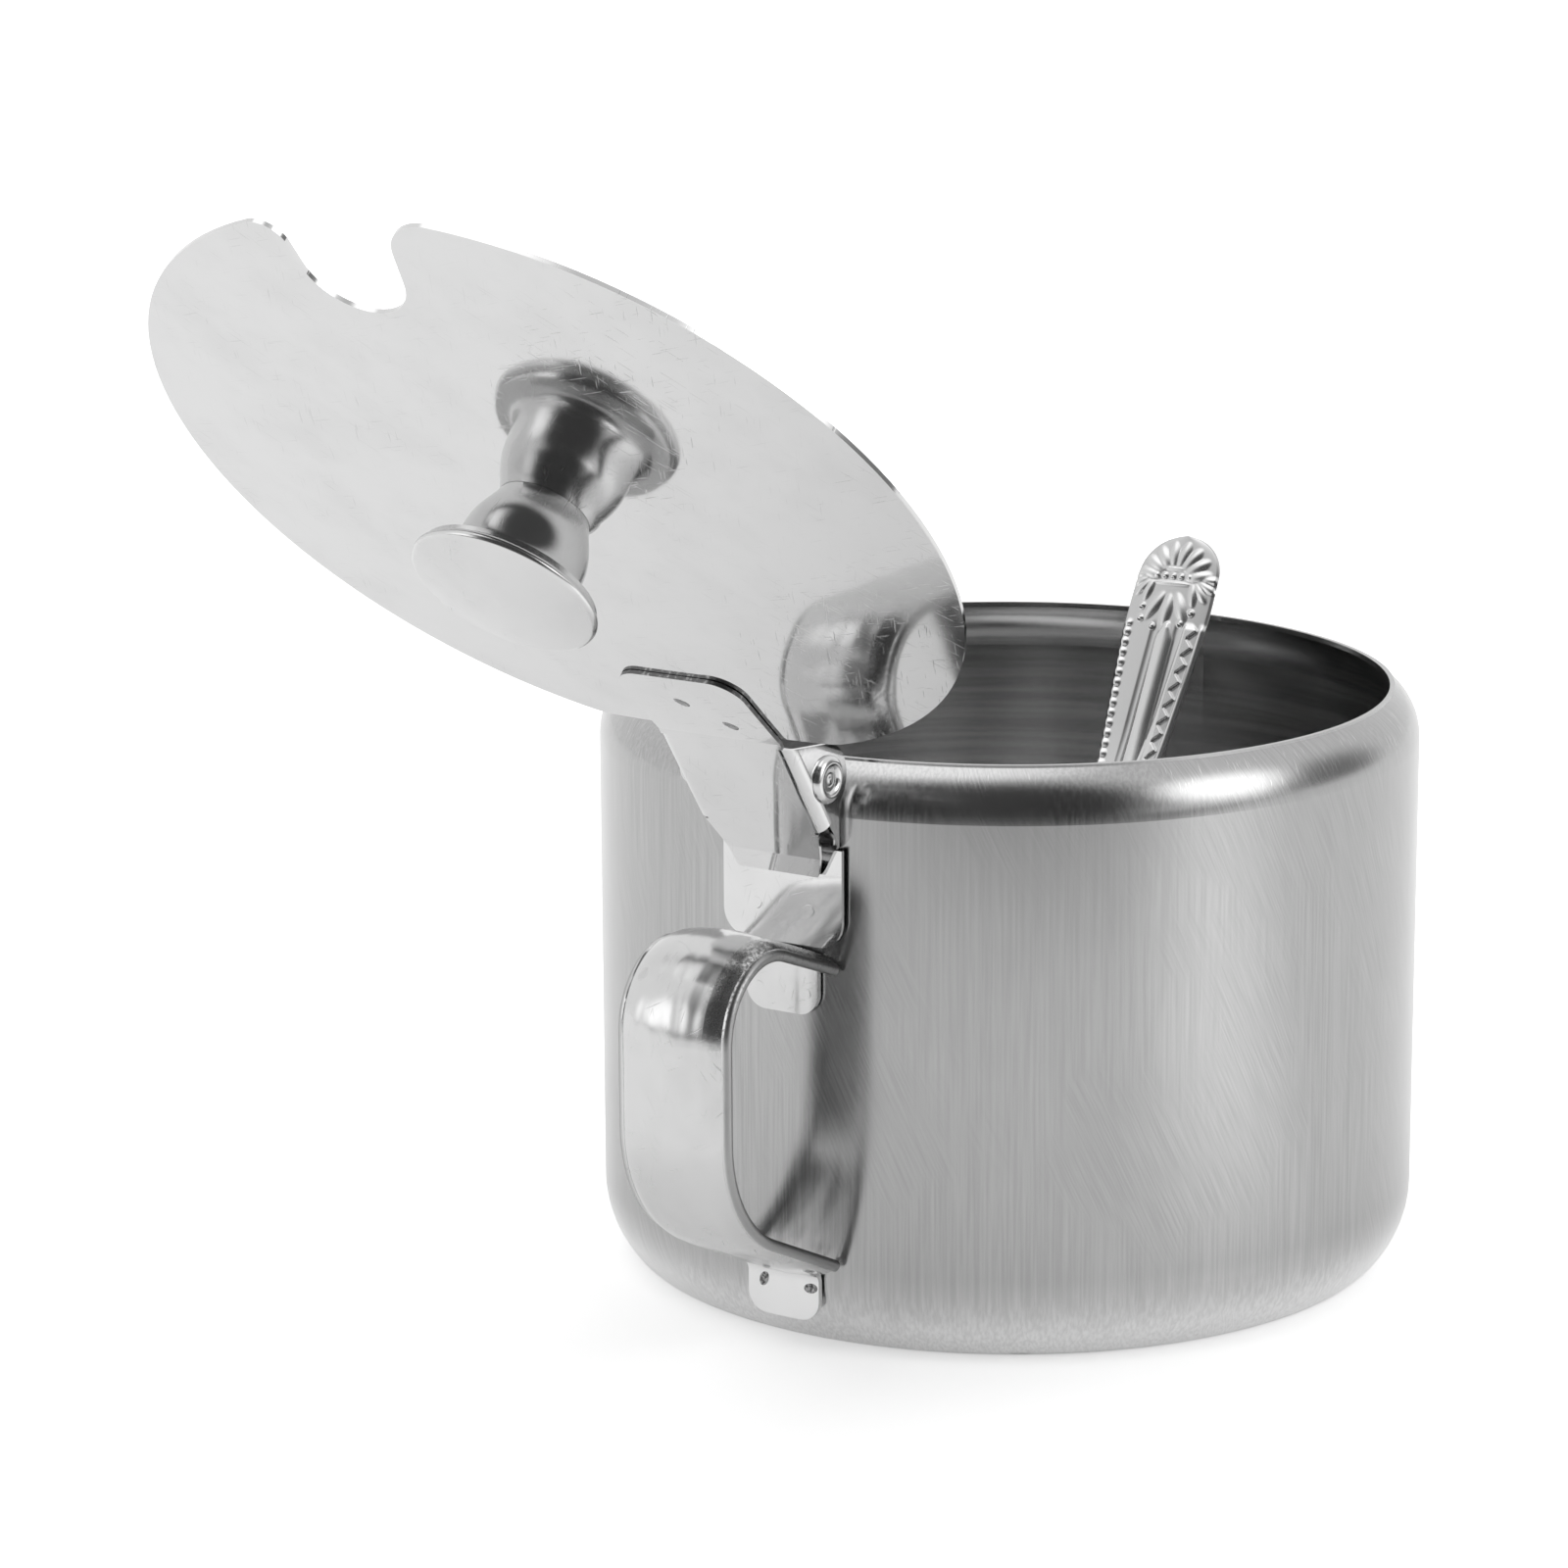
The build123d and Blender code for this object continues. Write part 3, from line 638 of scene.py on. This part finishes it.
bowl_mesh = bmesh.new()
bmesh.ops.create_uvsphere(bowl_mesh, u_segments=56, v_segments=36, radius=1)
bmesh.ops.scale(bowl_mesh, vec=BOWL_HALF, verts=bowl_mesh.verts)
everything = bowl_mesh.verts[:] + bowl_mesh.edges[:] + bowl_mesh.faces[:]
bmesh.ops.bisect_plane(bowl_mesh, geom=everything, plane_co=(0, 0, 0), plane_no=(0, 0, 1),
                       clear_outer=True)
bmesh.ops.solidify(bowl_mesh, geom=bowl_mesh.faces, thickness=BOWL_WALL)
bmesh.ops.translate(bowl_mesh, vec=(BOWL_HALF.x, 0, SPOON_SHEET), verts=bowl_mesh.verts)
bmesh.ops.recalc_face_normals(bowl_mesh, faces=bowl_mesh.faces)
print("bowl faces:", len(bowl_mesh.faces))
pour_into(handle_mesh, bowl_mesh, "spoon_bowl")

# %% [markdown]
# Every new piece ends the same way: smooth faces, sharp creases where two faces meet at more than a
# given angle, a count of open edges as a check, a parent for the body that it moves with, and the CAD
# part whose place it takes is hidden. The spoon's matrix goes into the mesh itself, so that the
# object stays unturned at the origin.

# %% Finish the spoon
SPOON_CREASE = 0.9


def finish_piece(mesh, name, body, replaced, crease):
    for face in mesh.faces:
        face.smooth = True
    for edge in mesh.edges:
        if len(edge.link_faces) == 2 and edge.calc_face_angle() > crease:
            edge.smooth = False
    open_edges = sum(1 for edge in mesh.edges if len(edge.link_faces) != 2)
    data = bpy.data.meshes.new(name)
    mesh.to_mesh(data)
    mesh.free()
    piece = bpy.data.objects.new(name, data)
    scene.collection.objects.link(piece)
    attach(piece, body)
    if replaced:
        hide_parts(replaced)
    print(name, "faces:", len(data.polygons), "open edges:", open_edges)
    return piece


bmesh.ops.transform(handle_mesh, matrix=spoon_place, verts=handle_mesh.verts)
spoon = finish_piece(handle_mesh, "stamped_spoon", "loose_spoon", "spoon",
                     SPOON_CREASE)

# %% [markdown]
# The stamping holds polish only on its high places. The low ones keep a duller, darker skin, so the
# relief that was stored on the points feeds the colour and the roughness.

# %% The spoon's finish
LOW_SHADE = 0.5
HIGH_SHADE = 0.6
LOW_ROUGHNESS = 0.28
HIGH_ROUGHNESS = 0.22
spoon_steel, tree, shader = metal("stamped_spoon_steel", HIGH_SHADE, HIGH_ROUGHNESS)
pressed = node(tree, "Attribute", attribute_name="relief").outputs["Fac"]
shade = soft_step(tree, pressed, -0.3, 0.6, LOW_SHADE, HIGH_SHADE)
tree.links.new(grey(tree, shade), shader.inputs["Base Color"])
rough = soft_step(tree, pressed, 0.0, 0.7, LOW_ROUGHNESS, HIGH_ROUGHNESS)
tree.links.new(rough, shader.inputs["Roughness"])
place = node(tree, "TexCoord").outputs["Object"]
ripple = stretched_noise(tree, place, (900, 900, 900))
rippled = node(tree, "Bump", {"Strength": 0.1, "Distance": 0.03 * mm, "Height": ripple}).outputs[0]
tree.links.new(rippled, shader.inputs["Normal"])
wear(spoon, spoon_steel)
print("spoon shades:", LOW_SHADE, "to", HIGH_SHADE)

# %% [markdown]
# ## Polished steel with the marks of use
# The lid, the lever and the fittings are bright sheet. Nothing on them is perfectly smooth: there
# are hair scratches in all directions, cloudy places that fingers have dulled, and slow waves left
# by the press. One helper builds all three from noise. A scratch is a noise stretched a long way in
# one direction, and only its rare highest ridges are kept, so the lines stay few and fine. Three
# turns of the same noise cross each other, and the clouds thin the lines out in places.

# %% Worn polish helper
SCRATCH_TURNS = [(1.32, 0.24, 0), (0.36, 0.75, 0), (-1.04, 0.47, 0)]
SCRATCH_STRETCH = (240, 240, 5200)
SCRATCH_DEPTH = 0.02 * mm


def hair_scratches(tree, place, clouds):
    lines = 0.0
    for turns in SCRATCH_TURNS:
        ridge = stretched_noise(tree, place, SCRATCH_STRETCH, 1.0, turns)
        lines = maths(tree, "MAXIMUM", soft_step(tree, ridge, 0.68, 0.76), lines)
    return maths(tree, "MULTIPLY", lines, soft_step(tree, clouds, 0.42, 0.62, 0.25, 1.0))


def worn_polish(name, shade, roughness, haze, scratched, wave=0.0, wave_scale=(160, 160, 160)):
    made, tree, shader = metal(name, shade, roughness)
    place = node(tree, "TexCoord").outputs["Object"]
    clouds = stretched_noise(tree, place, (90, 90, 90))
    lines = hair_scratches(tree, place, clouds)
    rough = maths(tree, "ADD", soft_step(tree, clouds, 0.4, 0.75, roughness, roughness + haze),
                  maths(tree, "MULTIPLY", lines, 0.12))
    tree.links.new(rough, shader.inputs["Roughness"])
    tone = maths(tree, "ADD", soft_step(tree, clouds, 0.35, 0.75, shade + 0.012, shade - 0.025),
                 maths(tree, "MULTIPLY", lines, -0.10 * scratched))
    tree.links.new(grey(tree, tone), shader.inputs["Base Color"])
    slow = stretched_noise(tree, place, wave_scale, 1.0)
    waves = node(tree, "Bump", {"Strength": 1.0, "Distance": wave, "Height": slow}).outputs[0]
    cuts = node(tree, "Bump", {"Strength": 0.3 * scratched, "Distance": SCRATCH_DEPTH,
                               "Height": lines, "Normal": waves}, invert=True).outputs[0]
    tree.links.new(cuts, shader.inputs["Normal"])
    return made, tree, shader


print("directions of hair scratches:", len(SCRATCH_TURNS))

# %% [markdown]
# The lid is nearly a mirror, and a mirror shows the smallest bend of its sheet. The real sheet
# isn't quite true, and the picture of the pot in it comes out narrow. Moving the CAD surface would
# spoil its fit, but a bump can turn the reflections alone: a very slow one that grows with the
# square of the distance from the lid's middle bends them as a change in the sheet's curve would.

# %% The lid's finish
LID_SHADE = 0.67
LID_CROWN = 0.9
lid_steel, tree, shader = worn_polish("mirror_lid_steel", LID_SHADE, 0.05, haze=0.03, scratched=0.8,
                                      wave=0.04 * mm, wave_scale=(60, 60, 60))
lid_low, lid_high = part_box("lid_plate")
lid_middle = [(low + high) / 2 for low, high in zip(lid_low, lid_high)]
off_middle = node(tree, "VectorMath", {0: node(tree, "TexCoord").outputs["Object"], 1: lid_middle},
                  operation="DISTANCE").outputs["Value"]
crown = maths(tree, "MULTIPLY", maths(tree, "POWER", off_middle, 2.0), LID_CROWN)
scratched = shader.inputs["Normal"].links[0].from_socket
crowned = node(tree, "Bump", {"Strength": 1.0, "Distance": 1.0, "Height": crown,
                              "Normal": scratched}).outputs[0]
tree.links.new(crowned, shader.inputs["Normal"])
wear(parts["lid_plate"], lid_steel)
print("middle of the lid in mm:", [round(value / mm, 1) for value in lid_middle])

# %% [markdown]
# The bracket is bright sheet of the same shade, a little duller than the lid, so it takes the plain
# worn polish.

# %% The bracket's finish
bracket_steel, _, _ = worn_polish("bracket_steel", LID_SHADE, 0.08, haze=0.05, scratched=0.6,
                                  wave=0.05 * mm, wave_scale=(120, 120, 120))
wear(parts["hinge_bracket"], bracket_steel)
print("bracket wears", bracket_steel.name)

# %% [markdown]
# The lever's cut edge is painted near black, a painted shade standing in for the dark line of shadow
# along the sheet's edge; the shears left it dull as well. It needs no piece of its own, because the
# material can look at the direction of the face: the faces of the cut stand square to the sheet. The
# direction comes from the texture coordinates, which stay with the mesh as it swings.
# tinted lays a darker or lighter shade over a finish wherever a mask says so.

# %% The lever's finish
LEVER_NORMAL = (math.sqrt(0.5), 0, math.sqrt(0.5))
EARS_END = 74 * mm
CUT_STARTS = 76 * mm


def tinted(tree, shader, mask, shade, roughness):
    base = shader.inputs["Base Color"]
    toned = node(tree, "Mix", {0: mask, 6: base.links[0].from_socket, 7: (shade, shade, shade, 1)},
                 data_type="RGBA")
    tree.links.new(toned.outputs[2], base)
    rough = shader.inputs["Roughness"]
    dulled = node(tree, "Mix", {0: mask, 2: rough.links[0].from_socket, 3: roughness})
    tree.links.new(dulled.outputs[0], rough)


lever_steel, tree, shader = worn_polish("lever_steel", LID_SHADE, 0.05, haze=0.03, scratched=0.8,
                                        wave=0.04 * mm, wave_scale=(80, 80, 80))
coordinates = node(tree, "TexCoord")
place = coordinates.outputs["Object"]
facing = maths(tree, "ABSOLUTE", along(tree, coordinates.outputs["Normal"], LEVER_NORMAL))
cut_face = soft_step(tree, facing, 0.5, 0.2)
above_ears = soft_step(tree, node(tree, "SeparateXYZ", {0: place}).outputs["Z"], EARS_END, CUT_STARTS)
torn = soft_step(tree, stretched_noise(tree, place, (1500, 1500, 1500)), 0.3, 0.5, 0.5, 0.9)
# painted shade: the cut faces are darkened to near black, broken up by noise
painted_edge_shade_mask = maths(tree, "MULTIPLY", maths(tree, "MULTIPLY", cut_face, above_ears), torn)
tinted(tree, shader, painted_edge_shade_mask, 0.12, 0.45)
wear(parts["thumb_lever"], lever_steel)
print("the cut edge is dark above", round(EARS_END / mm), "mm")

# %% [markdown]
# The handle is a strap bent round a former. The bend stretched its skin into slow waves and left it
# grainy at the upper corner. Its rolled edges are dull, and are also painted dark, a painted dark
# reflection of the dim room in their curve. The flat tab at its foot is painted brighter than the
# rest, a painted reflection of the white table close by. Such patches are often painted on a texture
# by hand. Here each one is a mask worked out from the place on the strap, which stays sharp at any
# size.

# %% The handle's finish
half_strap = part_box("handle")[1][1]
handle_steel, tree, shader = worn_polish("handle_steel", 0.63, 0.18, haze=0.07, scratched=0.5,
                                         wave=0.28 * mm, wave_scale=(90, 330, 90))
place = node(tree, "TexCoord").outputs["Object"]
sides = node(tree, "SeparateXYZ", {0: place})
across = sides.outputs["Y"]
height = sides.outputs["Z"]
painted_dark_roll = soft_step(tree, maths(tree, "ABSOLUTE", across), half_strap - 0.9 * mm,
                        half_strap - 0.3 * mm)
near_bend = maths(tree, "MULTIPLY", soft_step(tree, across, -3.5 * mm, -6.6 * mm),
                  soft_step(tree, height, 41 * mm, 48 * mm))
specks = soft_step(tree, stretched_noise(tree, place, (2600, 2600, 2600)), 0.42, 0.62)
# painted dark reflection on the rolled edges, together with the real specks of the bend
specks_and_painted_dark_rolls = maths(tree, "MAXIMUM", maths(tree, "MULTIPLY", painted_dark_roll, 0.75),
             maths(tree, "MULTIPLY", near_bend, specks))
# painted reflection: the foot tab is painted lighter than the rest of the strap
painted_bright_foot_tab = soft_step(tree, height, 12.5 * mm, 10.5 * mm)
tinted(tree, shader, painted_bright_foot_tab, 0.85, 0.16)
tinted(tree, shader, specks_and_painted_dark_rolls, 0.26, 0.4)
wear(parts["handle"], handle_steel)
print("strap width in mm:", round(2 * half_strap / mm, 1))

# %% [markdown]
# The knob is a spun stem with a cap, both duller than the lid. Their shape comes whole from the CAD
# model, so a finish is all that they need. The rivet has the same steel without the press waves.

# %% Knob and rivet finishes
knob_steel, _, _ = worn_polish("knob_steel", 0.64, 0.18, haze=0.08, scratched=0.6,
                               wave=0.08 * mm, wave_scale=(110, 110, 110))
knob_parts = ("knob_stem", "knob_cap", "knob_weld")
for name in knob_parts:
    wear(parts[name], knob_steel)
pin_steel, _, _ = worn_polish("pin_steel", 0.64, 0.16, haze=0.08, scratched=0.5)
wear(parts["hinge_pin"], pin_steel)
print("knob steel on:", ", ".join(knob_parts))

# %% [markdown]
# ## Small formed marks
# Spot welding leaves shallow oval craters. On the real jar the two on the foot of the handle were
# burnt dark and never cleaned, the two on the polished lever are small dull dents, and the others
# are faint. A bump could fake them, but they are pieces of their own in the CAD model, so each is a
# short profile, spun into a closed little dish and pressed into an oval.

# %% Spin a closed profile
SPIN_STEPS = 28


def spun(profile):
    mesh = bmesh.new()
    points = [mesh.verts.new((radius, 0, height)) for radius, height in profile]
    rings = [mesh.edges.new(pair) for pair in zip(points, points[1:])]
    bmesh.ops.spin(mesh, geom=points + rings, cent=(0, 0, 0), axis=(0, 0, 1), dvec=(0, 0, 0),
                   angle=math.tau, steps=SPIN_STEPS, use_merge=True)
    bmesh.ops.remove_doubles(mesh, verts=mesh.verts, dist=1e-5)
    bmesh.ops.recalc_face_normals(mesh, faces=mesh.faces)
    return mesh


print("a profile is spun in", SPIN_STEPS, "steps")

# %% [markdown]
# All the marks of one place make one piece. Marks on the wall face the handle side, so a quarter
# turn about Y points their axis that way. The face that they lie on is where the CAD mark starts,
# its own height inwards from its outermost point.

# %% Marks helper
MARK_CREASE = 1.2
CAD_MARK_HEIGHT = 0.12


def crater(rim, dip):
    return spun([(0, dip), (0.5, dip * 1.2), (0.72, rim), (0.86, rim * 0.9), (1.0, 0), (0.97, -0.05),
                 (0, -0.05)])


def add_marks(name, body, replaced, finish, places, length, width, rim, dip):
    marks = bmesh.new()
    for place in places:
        mark = crater(rim, dip)
        oval = Matrix.Scale(mm, 4) @ place @ Matrix.Diagonal((width / 2, length / 2, 1, 1))
        bmesh.ops.transform(mark, matrix=oval, verts=mark.verts)
        pour_into(marks, mark, name)
    wear(finish_piece(marks, name, body, replaced, MARK_CREASE), finish)


def on_wall(marked, y, z, turn=0):
    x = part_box(marked)[0][0] / mm + CAD_MARK_HEIGHT
    return (Matrix.Translation((x, y, z)) @ Matrix.Rotation(math.radians(-90), 4, "Y")
            @ Matrix.Rotation(math.radians(turn), 4, "Z"))


print("marks stand", CAD_MARK_HEIGHT, "mm out in the CAD model")

# %% [markdown]
# The two marks on the foot are not a pair: one lies nearly level and the other is turned. Burnt
# steel is dark and spotted, from almost black to a dull grey, with a crust that stands up a little.

# %% The burnt marks on the foot
CRUST = 0.08 * mm
burnt, tree, shader = metal("burnt_weld_steel", 0.2, 0.5)
spots = stretched_noise(tree, node(tree, "TexCoord").outputs["Object"], (2400, 2400, 2400), 4.0)
shade = soft_step(tree, spots, 0.38, 0.6, 0.06, 0.42)
tree.links.new(grey(tree, shade), shader.inputs["Base Color"])
crusted = node(tree, "Bump", {"Strength": 0.6, "Distance": CRUST, "Height": spots}).outputs[0]
tree.links.new(crusted, shader.inputs["Normal"])
add_marks("foot_weld_marks", "pot", "handle_foot_welds", burnt,
          [on_wall("handle_foot_welds", 2.7, 8.0, 70), on_wall("handle_foot_welds", -3.8, 7.9, 10)],
          length=1.9, width=1.2, rim=0.1, dip=0.02)

# %% [markdown]
# The marks under the handle's upper end and on the bracket are nearly flush, and wear the finish of
# the sheet that they are in.

# %% The faint marks
add_marks("top_weld_marks", "pot", "handle_top_welds", handle_steel,
          [on_wall("handle_top_welds", 3.2, 43.5), on_wall("handle_top_welds", -3.2, 43.5)],
          length=1.6, width=1.4, rim=0.012, dip=0.004)
add_marks("bracket_weld_marks", "pot", "bracket_welds", bracket_steel,
          [on_wall("bracket_welds", 3.6, 53.4), on_wall("bracket_welds", -3.6, 53.4)],
          length=1.6, width=1.4, rim=0.012, dip=0.004)

# %% [markdown]
# The lever's marks are noted with the lid shut, where the sheet is level apart from the lid's slow
# dome, and the swing of the hinge carries them to the open lid. The pin is the hinge, so the middle
# of its box gives the axis. In the mirror of the lever a clean dent would vanish, so these have a
# rippled steel painted darker, a painted shade standing in for the dark reflections in the dents.

# %% The dents on the lever
OPEN_ANGLE = math.radians(-135)
LEVER_MIDDLE = 38.45
LEVER_LEVEL = 72.96
LEVER_DOME = 553
pin_low, pin_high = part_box("hinge_pin")
hinge_axis = (Vector(pin_low) + Vector(pin_high)) / 2 / mm
swing = (Matrix.Translation(hinge_axis) @ Matrix.Rotation(OPEN_ANGLE, 4, "Y")
         @ Matrix.Translation(-hinge_axis))


def on_lever(x, y, turn=0):
    level = LEVER_LEVEL + (LEVER_MIDDLE ** 2 - x ** 2) / (2 * LEVER_DOME)
    return swing @ Matrix.Translation((x, y, level)) @ Matrix.Rotation(math.radians(turn), 4, "Z")


# painted shade: the dent steel is darker than the lever's own
shaded_dent_steel, _, _ = worn_polish("shaded_dent_steel", 0.34, 0.25, haze=0.1, scratched=0.5,
                               wave=0.12 * mm, wave_scale=(1100, 1100, 1100))
add_marks("lever_weld_marks", "lid", "lever_welds", shaded_dent_steel,
          [on_lever(-37.4, 1.2, 140), on_lever(-41.6, -3.2, 140)],
          length=2.1, width=0.9, rim=0.1, dip=0.03)
print("hinge axis in mm:", [round(value, 2) for value in hinge_axis])

# %% [markdown]
# The rivet is a tube, rolled over at both ends. In its mouth the rolling tool leaves a little dome,
# which catches the light in the middle of the dark ring. Each is a spun profile that a quarter turn
# about X points out of the jar's side, one way and the other.

# %% The rivet's eyes
EYE_SEAT = 9.25
EYE_CREASE = 1.0
EYE_PROFILE = [(0, 0.16), (0.35, 0.13), (0.62, 0.0), (0.86, 0.06), (0.88, -0.4), (0, -0.4)]
eyes = bmesh.new()
for end in (-1, 1):
    eye = spun(EYE_PROFILE)
    outwards = Matrix.Rotation(math.radians(-90 * end), 4, "X")
    mouth = Matrix.Translation(hinge_axis + Vector((0, EYE_SEAT * end, 0)))
    bmesh.ops.transform(eye, matrix=Matrix.Scale(mm, 4) @ mouth @ outwards, verts=eye.verts)
    pour_into(eyes, eye, "pin_eye")
wear(finish_piece(eyes, "pin_eyes", "lid", None, EYE_CREASE), pin_steel)
